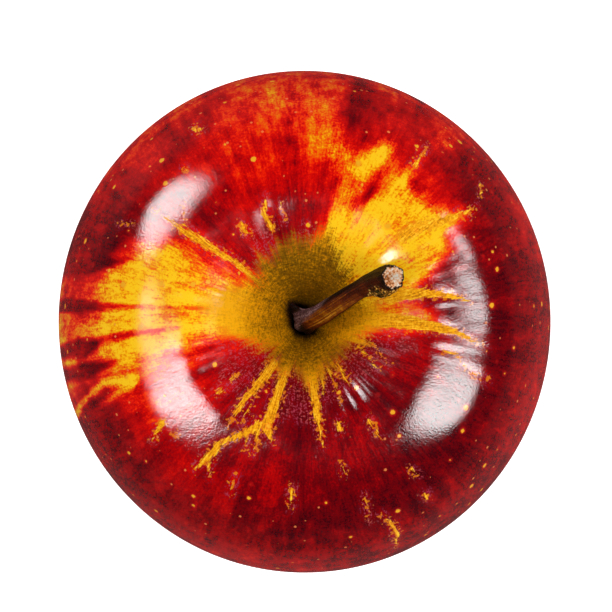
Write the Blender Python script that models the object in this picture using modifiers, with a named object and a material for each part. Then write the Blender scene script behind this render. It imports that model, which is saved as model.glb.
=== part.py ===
"""A red apple as picked: one solid fruit, its woody stalk, and the dried flower in its eye.

Metres, +Z up. The origin is on the resting plane, below the middle of the fruit.
"""

import math

import bmesh
import bpy
from mathutils import Matrix, Vector

MM = 0.001

# Fruit outline, as a half section of radius and height
EQUATOR_RADIUS = 39 * MM
EQUATOR_HEIGHT = 34.5 * MM
CREST_RADIUS = 19.5 * MM  # top of the shoulder, around the stalk hollow
CREST_HEIGHT = 64 * MM
FOOT_RADIUS = 13.5 * MM  # lowest ring, around the eye
FOOT_SINK = 0.25 * MM  # how far the lowest places are pressed flat
FLAT_WIDTH = 1.8 * MM  # of a flat spot, measured outwards from the eye
HOLLOW_FLOOR = 48.5 * MM  # where the stalk hollow meets the stalk
EYE_FLOOR = 8.5 * MM  # floor of the eye basin, above the resting plane
EYE_FLOOR_RADIUS = 3.4 * MM

# Fullness of the outline: where its curves between those places are drawn towards
HOLLOW_NECK = (5.5 * MM, 56 * MM)
HOLLOW_LIP = 10.5 * MM  # radius at which the lip of the hollow levels out
SHOULDER_REACH = 33.5 * MM  # radius to which the shoulder stays level
SHOULDER_DROP = 50 * MM  # height down to which the side is upright
FLANK_RISE = 20 * MM  # height from which the side is upright
FOOT_REACH = 26.5 * MM  # radius from which the foot is level
BASIN_LIP = 9 * MM
BASIN_REACH = 7.5 * MM

# Fruit unevenness
OVAL = 0.01  # narrower along X, wider along Y, as a share of the radius
LOBES = 5
LOBE_AZIMUTH = math.radians(36)
SHOULDER_LOBE = 0.35 * MM
FOOT_LOBE = 0.45 * MM
SHOULDER_TILT = 0.5 * MM  # one side of the shoulder stands higher
HIGH_SIDE_AZIMUTH = math.radians(200)
AROUND = 60  # facets round the fruit
HOLLOW_RINGS = 9
SHOULDER_RINGS = 12
FLANK_RINGS = 12
BASIN_RINGS = 8

# Stalk
STALK_RADIUS = 1.5 * MM
GAP = 0.3 * MM  # between touching solids
SOCKET_RADIUS = STALK_RADIUS * 1.12 + GAP
SOCKET_FLOOR = 44.5 * MM
SOCKET_TAPER = 0.55  # radius of the socket's floor, as a share of SOCKET_RADIUS
# Places along the stalk's centre line, with its thickness there as a share of STALK_RADIUS
STALK_ROUTE = [
    (0.0, 0.0, 44.8, 1.05),
    (0.0, 0.0, 48.2, 1.08),
    (0.7, 0.4, 51.8, 1.08),
    (2.6, 1.2, 55.6, 1.05),
    (5.4, 3.0, 59.8, 1.00),
    (8.3, 4.9, 63.4, 0.98),
    (10.7, 6.1, 66.4, 1.06),
    (12.5, 6.7, 69.2, 1.22),
    (13.1, 6.8, 70.6, 1.20),
]
KNOB_RADIUS = 1.25 * MM  # scar of the bract under the cut end
KNOB_PLACE = Vector((12.1, 5.2, 67.6)) * MM

# Dried flower in the eye
SEPALS = 5
SEPAL_LENGTH = 6.4 * MM
SEPAL_WIDTH = 3.0 * MM
SEPAL_THICKNESS = 0.5 * MM
SEPAL_FOOT_RADIUS = 3.1 * MM
SEPAL_CURL = 1.9  # radians that a sepal turns outwards along its length
SEPAL_TAPER = 0.7  # lower is blunter
SEPAL_BELLY = 0.5  # how much its sides swell before they taper
SEPAL_TIP = 0.15 * MM  # half the width of its tip
SEPAL_TROUGH = 0.35 * MM  # how far its edges are rolled
SEPAL_ROWS = 8
SEPAL_COLUMNS = 4
TUBE_RADIUS = 2.3 * MM  # mouth of the narrow tube that the stamens stand in
TUBE_END_RADIUS = 1.95 * MM
TUBE_LIP = 0.8 * MM  # rise of the basin's floor into the tube's mouth
TUBE_DEPTH = 3.2 * MM
STAMENS = 10
STAMEN_RADIUS = 0.2 * MM
STAMEN_RING = 1.35 * MM
STAMEN_LENGTH = 3.6 * MM
STAMEN_LEANS = (-0.05 * MM, 0.25 * MM)  # outwards at the tip, for every other stamen
# Share of the length from the root, and thickness there, which swells at the anther
STAMEN_SHAPE = [(0, 1), (0.35, 1), (0.7, 0.9), (0.88, 1.35), (1, 0.7)]
STYLE_RADIUS = 0.42 * MM
STYLE_LENGTH = 3.0 * MM
STYLE_SHAPE = [(0, 1.2), (0.4, 0.9), (0.8, 1.0), (1, 0.5)]

WELD = 0.001 * MM  # vertices closer than this are one

# Colour and roughness
RED_SKIN = (0.42, 0.008, 0.012), 0.25
STALK_BARK = (0.09, 0.035, 0.012), 0.7
DRIED_FLOWER = (0.16, 0.085, 0.04), 0.9


def clear_scene():
    for obj in list(bpy.data.objects):
        bpy.data.objects.remove(obj)


def make_material(name, colour, roughness):
    material = bpy.data.materials.new(name)
    material.use_nodes = True
    shader = material.node_tree.nodes["Principled BSDF"]
    shader.inputs["Base Color"].default_value = (*colour, 1)
    shader.inputs["Roughness"].default_value = roughness
    shader.inputs["Metallic"].default_value = 0
    return material


def new_collection(name):
    collection = bpy.data.collections.new(name)
    bpy.context.scene.collection.children.link(collection)
    return collection


def add_mesh_object(name, shape, material, collection):
    """An object named name from a bmesh, which is freed."""
    mesh = bpy.data.meshes.new(name)
    shape.to_mesh(mesh)
    shape.free()
    mesh.materials.append(material)
    mesh.shade_smooth()
    obj = bpy.data.objects.new(name, mesh)
    collection.objects.link(obj)
    return obj


def smooth(t):
    return t * t * (3 - 2 * t)


def bezier(points, t):
    """The point at t on the cubic with these four (radius, height) points."""
    s = 1 - t
    weights = (s**3, 3 * s * s * t, 3 * s * t * t, t**3)
    return tuple(sum(w * p[k] for w, p in zip(weights, points)) for k in range(2))


def steps(count):
    """Even steps from 0 that stop short of 1."""
    return [step / count for step in range(count)]


def fruit_rings():
    """Each ring from stalk to eye: radius, height, and shares of the shoulder's and foot's unevenness."""
    crest = (CREST_RADIUS, CREST_HEIGHT)
    equator = (EQUATOR_RADIUS, EQUATOR_HEIGHT)
    foot = (FOOT_RADIUS, -FOOT_SINK)
    hollow = [(SOCKET_RADIUS, HOLLOW_FLOOR), HOLLOW_NECK, (HOLLOW_LIP, CREST_HEIGHT), crest]
    shoulder = [crest, (SHOULDER_REACH, CREST_HEIGHT), (EQUATOR_RADIUS, SHOULDER_DROP), equator]
    flank = [equator, (EQUATOR_RADIUS, FLANK_RISE), (FOOT_REACH, -FOOT_SINK), foot]
    basin = [foot, (BASIN_LIP, -FOOT_SINK), (BASIN_REACH, EYE_FLOOR), (EYE_FLOOR_RADIUS, EYE_FLOOR)]
    flat_outside = 1 - FLAT_WIDTH / 2 / (3 * (FOOT_REACH - FOOT_RADIUS))
    flat_inside = FLAT_WIDTH / 2 / (3 * (FOOT_RADIUS - BASIN_LIP))
    rings = [(SOCKET_RADIUS * SOCKET_TAPER, SOCKET_FLOOR, 0, 0), (SOCKET_RADIUS, SOCKET_FLOOR, 0, 0)]
    rings += [(*bezier(hollow, t), smooth(t), 0) for t in steps(HOLLOW_RINGS)]
    rings += [(*bezier(shoulder, t), smooth(1 - t), 0) for t in steps(SHOULDER_RINGS)]
    rings += [(*bezier(flank, t), 0, smooth(t)) for t in steps(FLANK_RINGS) + [flat_outside]]
    rings += [(*bezier(basin, t), 0, smooth(1 - t)) for t in [0, flat_inside] + steps(BASIN_RINGS)[1:] + [1]]
    rings += [(TUBE_RADIUS, EYE_FLOOR + TUBE_LIP, 0, 0), (TUBE_END_RADIUS, EYE_FLOOR + TUBE_DEPTH, 0, 0)]
    return rings


def fruit_point(ring, azimuth):
    """A ring's point at this azimuth, with the fruit's oval, lobes and uneven shoulder."""
    radius, height, shoulder, foot = ring
    lobe = math.cos(LOBES * (azimuth - LOBE_AZIMUTH))
    height += shoulder * (SHOULDER_LOBE * lobe + SHOULDER_TILT * math.cos(azimuth - HIGH_SIDE_AZIMUTH))
    height += foot * FOOT_LOBE * (1 - lobe)
    radius *= 1 - OVAL * math.cos(2 * azimuth)
    return Vector((radius * math.cos(azimuth), radius * math.sin(azimuth), max(height, 0)))


def make_fruit(material, collection):
    """A sphere whose rings are moved, one by one, onto the rings of the fruit."""
    rings = fruit_rings()
    shape = bmesh.new()
    bmesh.ops.create_uvsphere(shape, u_segments=AROUND, v_segments=len(rings) + 1, radius=1)
    for vertex in shape.verts:
        from_top = math.acos(max(-1, min(1, vertex.co.z))) / math.pi * (len(rings) + 1)
        row = round(from_top)
        if row == 0:
            vertex.co = (0, 0, SOCKET_FLOOR)
        elif row == len(rings) + 1:
            vertex.co = (0, 0, EYE_FLOOR + TUBE_DEPTH)
        else:
            vertex.co = fruit_point(rings[row - 1], math.atan2(vertex.co.y, vertex.co.x))
    bmesh.ops.recalc_face_normals(shape, faces=shape.faces)
    return add_mesh_object("fruit", shape, material, collection)


def curve_object(name, points, radii, bevel, material, collection, resolution=1, sides=2):
    """A tube of radius bevel times radii through the points, with filled ends."""
    curve = bpy.data.curves.new(name, "CURVE")
    curve.dimensions = "3D"
    curve.bevel_depth = bevel
    curve.bevel_resolution = sides
    curve.resolution_u = resolution
    curve.use_fill_caps = True
    spline = curve.splines.new("BEZIER")
    spline.bezier_points.add(len(points) - 1)
    for knot, point, radius in zip(spline.bezier_points, points, radii):
        knot.co = point
        knot.radius = radius
        knot.handle_left_type = knot.handle_right_type = "AUTO"
    curve.materials.append(material)
    obj = bpy.data.objects.new(name, curve)
    collection.objects.link(obj)
    return obj


def as_mesh(obj, material, collection):
    """A mesh object in place of a curve object, with its caps welded."""
    bpy.context.view_layer.update()
    name = obj.name
    graph = bpy.context.evaluated_depsgraph_get()
    mesh = bpy.data.meshes.new_from_object(obj.evaluated_get(graph))
    matrix = obj.matrix_world.copy()
    bpy.data.objects.remove(obj)
    shape = bmesh.new()
    shape.from_mesh(mesh)
    bmesh.ops.remove_doubles(shape, verts=shape.verts, dist=WELD)
    made = add_mesh_object(name, shape, material, collection)
    made.matrix_world = matrix
    return made


def make_stalk(material, collection, helpers):
    points = [Vector(place[:3]) * MM for place in STALK_ROUTE]
    radii = [place[3] for place in STALK_ROUTE]
    tube = curve_object("stalk", points, radii, STALK_RADIUS, material, collection, resolution=3, sides=4)
    stalk = as_mesh(tube, material, collection)
    shape = bmesh.new()
    bmesh.ops.create_icosphere(shape, subdivisions=2, radius=KNOB_RADIUS)
    knob = add_mesh_object("bract_scar_shape", shape, material, helpers)
    knob.location = KNOB_PLACE
    knob.hide_render = True
    knob.display_type = "WIRE"
    union = stalk.modifiers.new("bract_scar", "BOOLEAN")
    union.operation = "UNION"
    union.object = knob
    return stalk


def sepal_point(u, v):
    """A place on a sepal: u across it from -1 to 1, v along it from 0 to 1, standing at +X."""
    width = SEPAL_WIDTH / 2 * (1 - v) ** SEPAL_TAPER * (1 + SEPAL_BELLY * v) + SEPAL_TIP
    turn = SEPAL_CURL * v
    out = SEPAL_LENGTH / SEPAL_CURL * (1 - math.cos(turn))
    down = SEPAL_LENGTH / SEPAL_CURL * math.sin(turn)
    trough = SEPAL_TROUGH * u * u * (1 - v)
    return Vector((SEPAL_FOOT_RADIUS + out + trough, width * u, -down))


def make_sepals(material, collection):
    top = EYE_FLOOR - SEPAL_THICKNESS / 2 - GAP
    shape = bmesh.new()
    bmesh.ops.create_grid(shape, x_segments=SEPAL_COLUMNS, y_segments=SEPAL_ROWS, size=1)
    for vertex in shape.verts:
        vertex.co = sepal_point(vertex.co.x, (vertex.co.y + 1) / 2)
    first = add_mesh_object("sepal_1", shape, material, collection)
    for number in range(SEPALS):
        sepal = first
        if number:
            sepal = bpy.data.objects.new(f"sepal_{number + 1}", first.data)
            collection.objects.link(sepal)
        sepal.location = (0, 0, top)
        sepal.rotation_euler.z = LOBE_AZIMUTH + number * math.tau / SEPALS
        thickness = sepal.modifiers.new("thickness", "SOLIDIFY")
        thickness.thickness = SEPAL_THICKNESS
        thickness.offset = 0


def make_stamens(material, collection):
    """Stamens in a ring, hanging from the tube, each with a dried anther at its tip."""
    root = EYE_FLOOR + TUBE_DEPTH - GAP
    for number in range(STAMENS):
        turn = Matrix.Rotation(number * math.tau / STAMENS, 3, "Z")
        lean = STAMEN_LEANS[number % 2]
        points = [
            turn @ Vector((STAMEN_RING + lean * share, 0, root - STAMEN_LENGTH * share))
            for share, thickness in STAMEN_SHAPE
        ]
        radii = [thickness for share, thickness in STAMEN_SHAPE]
        curve_object(f"stamen_{number + 1:02d}", points, radii, STAMEN_RADIUS, material, collection, sides=1)
    points = [Vector((0, 0, root - STYLE_LENGTH * share)) for share, thickness in STYLE_SHAPE]
    radii = [thickness for share, thickness in STYLE_SHAPE]
    curve_object("style_column", points, radii, STYLE_RADIUS, material, collection)


def main():
    clear_scene()
    apple = new_collection("red_apple")
    helpers = new_collection("helpers")
    skin = make_material("red_skin", *RED_SKIN)
    bark = make_material("stalk_bark", *STALK_BARK)
    dried = make_material("dried_flower", *DRIED_FLOWER)
    make_fruit(skin, apple)
    make_stalk(bark, apple, helpers)
    make_sepals(dried, apple)
    make_stamens(dried, apple)


main()
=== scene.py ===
"""The looks of a red apple: its painted skin, woody stalk and the dried flower in its eye.

Places on the skin are given as (reach, azimuth). Reach is the distance from the stalk's axis in
millimetres; below the widest part it goes on growing, up to the eye. Azimuth is in degrees, from +X
towards +Y.
"""

import math

import bmesh
import bpy
import numpy as np
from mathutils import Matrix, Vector, noise


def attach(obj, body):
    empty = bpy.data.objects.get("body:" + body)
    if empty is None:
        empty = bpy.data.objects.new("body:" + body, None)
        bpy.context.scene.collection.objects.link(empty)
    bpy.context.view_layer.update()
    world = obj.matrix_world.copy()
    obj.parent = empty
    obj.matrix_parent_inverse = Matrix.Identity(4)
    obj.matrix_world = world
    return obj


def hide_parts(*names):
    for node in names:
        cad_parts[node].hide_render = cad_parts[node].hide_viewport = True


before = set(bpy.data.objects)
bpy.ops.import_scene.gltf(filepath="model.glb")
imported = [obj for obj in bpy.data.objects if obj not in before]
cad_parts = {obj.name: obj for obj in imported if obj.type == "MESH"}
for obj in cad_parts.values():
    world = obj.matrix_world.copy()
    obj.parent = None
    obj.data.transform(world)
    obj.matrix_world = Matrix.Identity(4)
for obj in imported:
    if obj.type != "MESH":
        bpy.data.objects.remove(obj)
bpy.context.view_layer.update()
MM = 0.001

# Fruit, as in the solid model
EQUATOR_RADIUS, EQUATOR_HEIGHT = 39, 34.5
CREST_RADIUS, CREST_HEIGHT = 19.5, 64
FOOT_RADIUS, FOOT_SINK = 13.5, 0.25
SOCKET_RADIUS, SOCKET_FLOOR, HOLLOW_FLOOR = 1.98, 44.5, 48.5
EYE_FLOOR, EYE_FLOOR_RADIUS = 8.5, 3.4
TUBE_RADIUS, TUBE_LIP, TUBE_END_RADIUS, TUBE_DEPTH = 2.3, 0.8, 1.95, 3.2
OVAL, LOBES, LOBE_AZIMUTH = 0.01, 5, 36
SHOULDER_LOBE, FOOT_LOBE = 0.12, 0.45
SHOULDER_TILT, HIGH_SIDE_AZIMUTH = 0.5, 200
AROUND = 400  # faces round the fruit
STEPS = {"hollow": 62, "shoulder": 62, "flank": 62, "basin": 40}

# Stalk, as in the solid model: centre line in millimetres, and thickness as a share of STALK_RADIUS
STALK_RADIUS = 1.5
STALK_ROUTE = [
    (0.0, 0.0, 44.8, 1.05),
    (0.0, 0.0, 48.2, 1.08),
    (0.7, 0.4, 51.8, 1.08),
    (2.6, 1.2, 55.6, 1.05),
    (5.4, 3.0, 59.8, 1.00),
    (8.3, 4.9, 63.4, 0.98),
    (10.7, 6.1, 66.4, 1.06),
    (12.5, 6.7, 69.2, 1.22),
    (13.1, 6.8, 70.6, 1.20),
]
KNOB_PLACE, KNOB_AXIS, KNOB_REACH = (12.1, 5.2, 67.6), (0.62, 0.33, 0.71), 1.4
SPUR_TURN, SPUR_SHARE, SPUR_LENGTH = 137, 0.2, 2.6
# The second direction is the side the bark is painted paler on, as painted light from there
CUT_FACING, PAINTED_LIGHT_SIDE, BARE_SIDE = (0.36, 0.05, 0.93), (0.25, -0.50, 0.83), (0.35, -0.93, 0)

# Dried flower, as in the solid model
SEPALS, STAMENS = 5, 10
SEPAL_LENGTH, SEPAL_WIDTH, SEPAL_THICKNESS = 6.4, 3.0, 0.5
SEPAL_FOOT_RADIUS, SEPAL_CURL = 3.1, 1.9
STAMEN_RING, STAMEN_LENGTH, STYLE_LENGTH = 1.35, 3.6, 3.0

# Where the skin keeps its yellow ground, or colours deeper. Each band is a line of places with its
# half width there: (reach, azimuth, half width). Change is how much deeper its red is, from 0 for
# none to 1 for the darkest, and softness is how wide its edge fades.
BLUSH = 0.79
BANDS = [
    # change, softness, places
    (-0.88, 5.4, [
        (5, 170, 2.0), (10, 170, 3.4), (15, 170.5, 5.0), (22.5, 170.5, 9.3), (27, 173, 9.6),
        (33, 181, 8.4), (38.6, 184, 9.2), (42, 185, 7.0), (48, 186, 3.6), (58, 187, 0.5),
    ]),
    (-0.85, 3.0, [
        (6, 50, 3.0), (12, 50, 5.6), (16, 45.5, 6.6), (20, 42, 6.6), (23, 40, 4.6), (25.5, 37, 1.8),
        (28, 35, 0.4),
    ]),
    (-0.48, 1.6, [(22, 47, 1.2), (24.6, 48.5, 1.4), (26, 47, 0.6)]),
    (-0.46, 1.6, [(21.5, 28, 0.8), (23.4, 27.6, 1.4), (25, 27, 0.4)]),
    (-0.50, 2.0, [(13, 24, 2.0), (18, 24, 2.0), (21, 24, 0.8)]),
    (-0.60, 2.4, [(8, 7, 3.0), (13.5, 6, 3.2), (16.5, 4, 2.0), (19.5, 2, 0.6)]),
    (-0.70, 1.8, [(16, 55, 1.6), (20, 54.5, 2.2), (23.5, 54.5, 2.0), (26.4, 55.5, 0.8)]),
    (-0.40, 2.4, [(12, 70, 1.2), (18, 68, 1.6), (21, 67.5, 1.6), (24.5, 68.5, 1.6)]),
    (-0.60, 1.6, [(24.5, 69, 1.0), (26.5, 66.5, 1.6), (28.6, 65, 1.3)]),
    (-0.26, 3.0, [(10, 77, 2.0), (15, 74, 2.2), (21, 75, 1.6), (25, 76, 0.8)]),
    (0.30, 1.2, [(17.5, 64.5, 0.6), (19.6, 64.5, 1.3), (21, 64, 0.6)]),
    (0.10, 1.2, [(21, 64, 0.8), (23, 62.5, 1.3), (24.6, 61.5, 0.4)]),
    (0.16, 1.6, [(17, 83, 0.6), (21.5, 82, 1.2), (24, 82, 0.4)]),
    (0.30, 1.6, [(29, 76, 0.4), (32, 77, 1.6), (36, 76, 1.8)]),
]
# Broad patches: reach, azimuth, half length outwards, half width round, change
PATCHES = [
    (27.5, 84, 6.5, 4.6, -0.27),
    (33.5, 93, 3.6, 8.0, -0.26),
    (27.5, 111, 7.0, 8.0, -0.12),
    (28.5, 50, 5.0, 8.0, -0.16),
    (26.0, 79, 3.0, 2.6, -0.24),
    (25.6, 60.5, 1.8, 1.6, -0.22),
    (34.3, 52, 1.7, 1.7, -0.34),
    # Lighter, as painted glow round the highlight at the lower left
    (26.0, 204, 7.0, 6.0, -0.32),
    (30.0, 228, 6.0, 12.0, -0.14),
    (36.0, 215, 4.0, 12.0, 0.12),
    (31.0, 275, 6.0, 12.0, 0.12),
    (33.0, 315, 6.0, 14.0, 0.14),
    (33.0, 5, 5.0, 8.0, 0.12),
    (36.5, 181, 6.0, 14.0, 0.56),
    (19.0, 352, 3.0, 4.0, -0.10),
    (34.0, 157, 5.0, 5.0, 0.20),
    (24.0, 131, 4.0, 4.5, 0.16),
    (15.0, 100, 5.0, 3.6, 0.16),
    (16.0, 268, 5.0, 4.0, 0.14),
    (34.0, 42, 4.5, 8.0, 0.16),
    (18.5, 293, 4.0, 6.0, -0.08),
    # Lighter, as painted glow on the flank of the highlight at the lower left
    (19.5, 221, 4.0, 4.0, -0.12),
]

# Broad flats that the growing fruit was pressed into, and low ridges, whose depth is below 0: reach,
# azimuth, depth, size outwards and size round
FLATS = [
    (23.2, 213, 0.52, 4.6, 24.0),
    (24.0, 215, -0.26, 16.0, 7.5),
    (22.0, 234, -0.16, 10.0, 5.0),
    (25.0, 337, 0.48, 4.4, 7.5),
    (25.0, 4, 0.30, 4.2, 6.5),
    (26.5, 140, 0.36, 4.2, 6.5),
]
# Where the skin is still waxy near the hollow: reach, azimuth, size
WAXY = [(20.8, 210, 4.4), (11.6, 164, 2.4), (17.8, 106, 2.4), (15.9, 37, 1.5), (13.6, 302, 2.6)]

# Rough russet that runs out of the hollow as tongues, and lies in flecks further out
TONGUES = [
    [(9, 139, 0.5), (14, 139, 0.6), (18, 141.5, 0.7), (22, 142.5, 0.8), (24, 143, 0.5), (29, 143, 0.1)],
    [(23, 142, 0.5), (25.5, 135, 0.3)],
    [(16.2, 123, 0.6), (17.4, 123, 0.6)],
    [(15, 109, 0.5), (17.4, 110.5, 0.6), (19.4, 107, 0.3)],
    [(15.5, 101, 0.2), (18, 101, 0.3)],
    [(29.4, 150, 0.3), (32, 152, 0.2)],
    [(20, 41, 1.2), (23, 39, 1.1), (26, 36.5, 0.9), (28, 35, 0.6), (31.5, 34, 0.2)],
    [(28, 35, 0.5), (30, 33, 0.25)],
    [(29, 55, 0.5), (30, 55, 0.3), (32.2, 55, 0.3)],
    [(33.4, 36, 0.5), (33.9, 38, 0.4)],
    [(12, 19, 1.3), (15.6, 16, 1.2), (19.3, 13, 0.9), (23, 10, 0.6), (25.5, 7, 0.2)],
    [(11, 2, 1.4), (16, 0, 1.2), (22, -3, 0.8), (25.7, -6, 0.5), (28, -8, 0.2)],
    [(21, -11.5, 0.2), (23.6, -11.5, 0.45), (24.8, -15, 0.35), (26.8, -17, 0.35), (29.3, -17.5, 0.2)],
    [(9, -15, 0.4), (10.6, -17, 0.25), (14.3, -27.5, 0.15)],
    [(9, -24, 0.4), (13, -33, 0.15)],
    [(8, -52, 0.4), (9.8, -53.5, 0.4), (12, -54.5, 0.25)],
    [(17.5, -56.5, 0.35), (20, -57, 0.45)],
    [(5.5, -81, 1.0), (10, -82.5, 0.8), (13.5, -82, 0.8), (16, -82, 0.35), (18.6, -82, 0.15)],
    [(7, -70, 0.4), (11, -75, 0.25)],
    [(8, -63, 0.4), (12.7, -65, 0.25)],
    [(15.9, -71.5, 0.5), (16.8, -71.5, 0.5)],
    [(6, 249, 0.9), (9, 249, 0.8), (13, 250, 0.9), (16.8, 250, 1.1), (18.5, 255, 0.3)],
    [(16.8, 246, 0.9), (18.8, 241.5, 0.8), (22, 235, 0.6), (25, 234.5, 0.8), (27.5, 233, 0.3)],
    [(18.5, 243, 0.4), (21, 244.5, 0.2)],
    [(17.7, 247, 0.5), (21, 249, 0.2)],
    [(25, 235, 0.4), (27, 238.5, 0.2)],
    [(8, 234, 0.9), (11, 233.5, 0.8), (14, 232, 0.7), (17, 233, 0.5), (19.4, 233, 0.2)],
    [(14.7, 237, 0.3), (18, 237.5, 0.2)],
    [(12.6, 218, 0.3), (14, 218, 0.4)],
    [(16.2, 219, 0.5), (16.9, 219, 0.4)],
    [(26.3, 215, 0.7), (27.6, 216.5, 0.6), (29.3, 218, 0.2)],
    [(25.3, 221, 0.4), (25.9, 221, 0.4)],
    [(25, 245.5, 0.25), (27.6, 246.5, 0.3)],
    [(25, 265.5, 0.5), (27.8, 266, 0.15)],
    [(27.6, 289, 0.35), (31.3, 288, 0.15)],
    [(31.4, 292, 0.3), (33, 293.5, 0.5), (35.2, 293.5, 0.5), (37, 292, 0.3)],
    [(22, 285, 0.3), (23.5, 285, 0.2)],
    [(27.3, 306, 0.3), (28.6, 306.5, 0.25)],
    [(31.8, 305, 0.5), (32.2, 305, 0.5)],
    [(33.2, 119, 0.6), (33.8, 119.5, 0.5)],
    [(28.9, 128, 0.4), (29.3, 128, 0.4)],
]
# Red stripes left on the yellow side, and yellow ones beside it
STRIPES = [
    (0.55, 0.5, [
        (13.6, 171, 0.3), (16.6, 172.4, 0.2), (20, 173.5, 0.05), (25.6, 174.7, 0.25),
        (30.5, 175.5, 0.6), (36, 176, 1.1), (45, 177, 1.0), (56, 178, 1.6),
    ]),
    (0.50, 0.5, [(19, 182, 0.1), (24, 183.4, 0.5), (28, 184.4, 0.6), (33, 185.6, 0.5)]),
    (0.70, 0.7, [
        (32.4, 186.5, 0.6), (34.3, 186.8, 1.5), (37, 187, 1.2), (43, 187.5, 0.5), (50, 188, 1.3),
        (60, 188, 0.8),
    ]),
    (0.65, 0.7, [(29.5, 192, 0.2), (34.3, 192.4, 1.1), (37, 192.5, 1.0), (44, 192, 1.2), (52, 192, 1.6)]),
    (-0.55, 0.5, [(27.4, 198.4, 0.8), (32.3, 197, 0.6), (35.8, 199.5, 0.5), (38.5, 202, 0.7)]),
    (-0.50, 0.4, [(27.9, 200, 0.5), (33.5, 202, 0.3)]),
    (0.50, 0.6, [(40, 181, 0.2), (44, 181.5, 0.5), (52, 182, 0.9), (60, 182, 1.2)]),
    (0.55, 0.6, [(39, 171, 0.3), (45, 171, 0.8), (54, 170, 1.2)]),
    (-0.30, 0.6, [(41, 163, 0.3), (47, 163, 0.7), (55, 162, 0.4)]),
    (-0.35, 0.6, [(42, 199, 0.3), (49, 199, 0.8), (60, 200, 0.4)]),
    (0.45, 0.8, [(28, 160, 0.2), (31, 163, 0.7), (34, 165, 1.0), (38, 167, 0.9)]),
]

# The olive hollow's edge, the side where it is greenest, and how much further it reaches in places:
# azimuth, spread in degrees, millimetres
HOLLOW_EDGE, GREEN_SIDE_AZIMUTH = 7.4, 85
HOLLOW_ARMS = [
    (85, 35, 3.8),
    (126, 24, 3.0),
    (45, 14, 2.0),
    (73, 10, 2.8),
    (172, 22, 7.0),
    (2, 20, 3.5),
    (276, 12, 1.5),
]

# Colours from 0 to 255, each (position, red, green, blue) where a ramp runs through them
SKIN_COLOURS = [
    (0.00, 254, 199, 26),
    (0.10, 250, 178, 8),
    (0.22, 240, 132, 4),
    (0.34, 242, 82, 4),
    (0.46, 240, 32, 4),
    (0.56, 214, 8, 4),
    (0.70, 174, 2, 6),
    (0.84, 122, 1, 9),
    (1.00, 78, 1, 10),
]
RUSSET_COLOURS = [(0.10, 176, 100, 6), (0.35, 218, 134, 8), (0.60, 242, 166, 14), (0.90, 254, 202, 50)]
HOLLOW_COLOURS = [(0.0, 246, 172, 8), (0.35, 214, 142, 4), (0.65, 134, 90, 4), (1.0, 82, 56, 4)]
# The last of these colours is painted shade round the stalk's socket
VIOLET, PINK, FRECKLE, PAINTED_SOCKET_SHADE = (184, 44, 92), (226, 92, 84), (236, 128, 18), (34, 22, 10)
PORE_HALO, PORE, PINPOINT = (236, 30, 24), (240, 168, 34), (236, 130, 70)
BARK_COLOURS = [
    (0.0, 16, 7, 5),
    (0.28, 78, 20, 4),
    (0.48, 130, 54, 5),
    (0.68, 184, 118, 10),
    (1.0, 222, 158, 60),
]
STALK_FOOT_COLOURS = [(0.15, 30, 16, 18), (0.5, 112, 74, 80), (0.85, 196, 160, 160)]
# The knob's orange and pale yellow stops are painted glints
KNOB_COLOURS_AND_GLINTS = [(0.2, 18, 14, 8), (0.5, 70, 66, 14), (0.62, 206, 120, 16), (0.8, 236, 206, 96)]
WOOD_COLOURS = [(0.1, 112, 52, 20), (0.38, 220, 124, 52), (0.62, 246, 196, 150), (0.95, 255, 244, 230)]
WOOD_PIT = (84, 44, 32)
SEPAL_DARK, SEPAL_LIGHT, SEPAL_TIP = (58, 36, 22), (128, 88, 54), (70, 42, 24)
STAMEN_DARK, STAMEN_LIGHT, STAMEN_TIP = (44, 28, 18), (150, 104, 60), (40, 24, 14)
DRIED_HIGH = (206, 178, 138)

# Studio: softboxes as (azimuth, tilt from overhead, width round, width down, radiance)
SOFTBOXES = [
    (209, 24, 7.0, 30, 14),
    (184, 30, 2, 12, 9),
    (171, 30, 2.5, 12, 9),
    (141, 54, 10, 32, 10),
    (-22, 36, 13, 40, 10),
    (3, 44, 8, 22, 9),
    (21, 50, 9, 14, 8),
]
LIGHT_DISTANCE = 0.9
SENSOR_WIDTH, LENS, CAMERA_PLACE = 36, 243, (0.22, 2.46, EQUATOR_HEIGHT + 650)
FLOOR_SIZE, FLOOR_DROP = 6, 0.2
GLOW_MIDDLE = (0.015, -0.026, 0)


def shade(red, green, blue):
    """A colour from its 0 to 255 display values."""
    def linear(value):
        value /= 255
        return value / 12.92 if value <= 0.04045 else ((value + 0.055) / 1.055) ** 2.4

    return (linear(red), linear(green), linear(blue), 1)


def smooth(t):
    t = np.clip(t, 0, 1)
    return t * t * (3 - 2 * t)


def bell(away, width):
    """1 in the middle, and fading to nothing about two widths away."""
    return np.exp(-((away / width) ** 2))


def turned_from(azimuth, degrees):
    """How far each azimuth lies past the one at degrees, in radians from -pi to pi."""
    return (azimuth - np.radians(degrees) + math.pi) % math.tau - math.pi


# ---- Shader tools ----

NOISE_RANGE = (0.28, 0.72)  # where nearly all of a noise texture's values lie


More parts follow.
